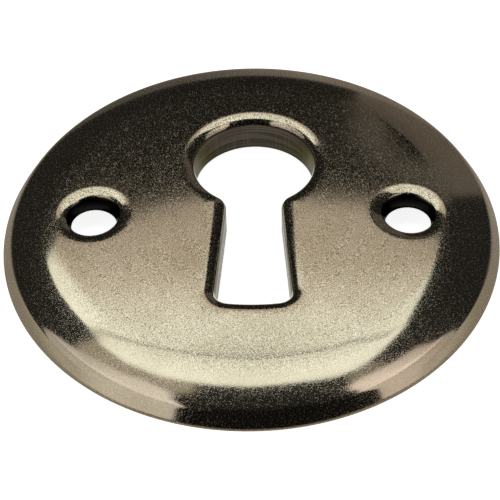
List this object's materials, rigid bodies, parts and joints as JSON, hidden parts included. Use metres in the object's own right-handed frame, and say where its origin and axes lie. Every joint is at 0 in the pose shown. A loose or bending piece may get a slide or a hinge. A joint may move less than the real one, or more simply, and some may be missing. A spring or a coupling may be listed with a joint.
{
  "type": "keyhole escutcheon",
  "caption": "Round domed keyhole cover plate with a hollow back, a rounded keyhole and countersunk screw holes beside it.",
  "frame": {"origin": "centre of the round plate on its mounting plane, which is the flat ring that rests on the door or drawer front", "axes": "+Z points out of the face, away from the furniture; the keyhole's round part lies towards +Y and its slot towards -Y; the screw holes lie on X"},
  "size_m": [0.035, 0.035, 0.003],
  "materials": {
    "antique_brass": "antique brass, darkened and lacquered, with a fine grainy soft gloss"
  },
  "bodies": {
    "root": {"escutcheon_plate": "antique_brass"}
  },
  "joints": []
}
